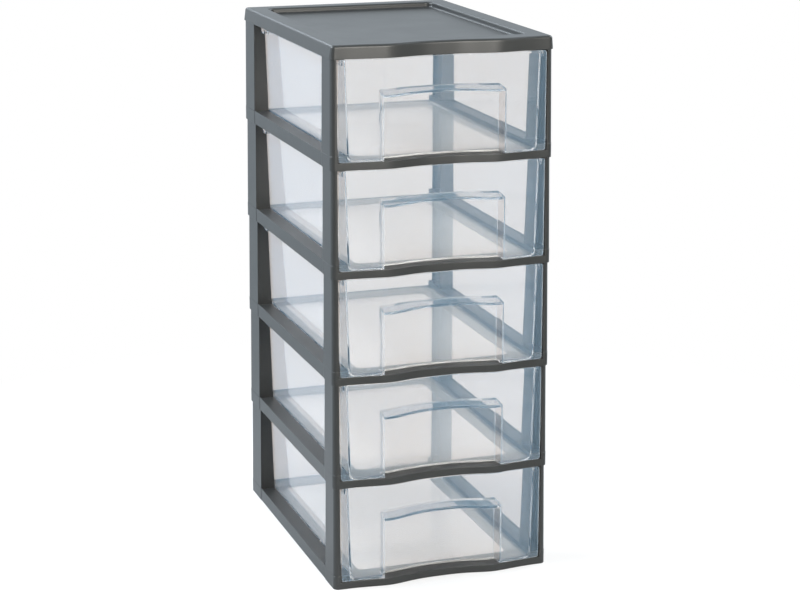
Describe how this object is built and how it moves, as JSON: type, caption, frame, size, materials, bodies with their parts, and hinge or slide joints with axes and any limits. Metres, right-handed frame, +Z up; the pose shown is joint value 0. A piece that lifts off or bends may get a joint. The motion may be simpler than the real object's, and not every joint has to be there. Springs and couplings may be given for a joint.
{
  "type": "drawer tower",
  "caption": "Floor-standing storage tower: open-sided plastic frames pegged on top of each other, a tray lid, and clear pull-out drawers with a wavy front and a finger recess.",
  "frame": {"origin": "middle of the footprint's bounding box, on the floor", "axes": "+Z up; the drawers open towards -Y; +X is to the right for someone who faces the drawers"},
  "size_m": [0.278, 0.39, 0.6664],
  "materials": {
    "dark_plastic": "satin anthracite grey, injection moulded",
    "clear_plastic": "milky clear, injection moulded"
  },
  "bodies": {
    "tower": {"top_lid": "dark_plastic", "frame_1": "dark_plastic", "frame_2": "dark_plastic", "frame_3": "dark_plastic", "frame_4": "dark_plastic", "frame_5": "dark_plastic"},
    "drawer_1": {"drawer_1": "clear_plastic"},
    "drawer_2": {"drawer_2": "clear_plastic"},
    "drawer_3": {"drawer_3": "clear_plastic"},
    "drawer_4": {"drawer_4": "clear_plastic"},
    "drawer_5": {"drawer_5": "clear_plastic"}
  },
  "joints": [
    {"name": "drawer_1_slide", "type": "slide", "parent": "tower", "child": "drawer_1", "axis": [0, -1, 0], "range_m": [0, 0.283]},
    {"name": "drawer_2_slide", "type": "slide", "parent": "tower", "child": "drawer_2", "axis": [0, -1, 0], "range_m": [0, 0.283]},
    {"name": "drawer_3_slide", "type": "slide", "parent": "tower", "child": "drawer_3", "axis": [0, -1, 0], "range_m": [0, 0.283]},
    {"name": "drawer_4_slide", "type": "slide", "parent": "tower", "child": "drawer_4", "axis": [0, -1, 0], "range_m": [0, 0.283]},
    {"name": "drawer_5_slide", "type": "slide", "parent": "tower", "child": "drawer_5", "axis": [0, -1, 0], "range_m": [0, 0.283]}
  ]
}
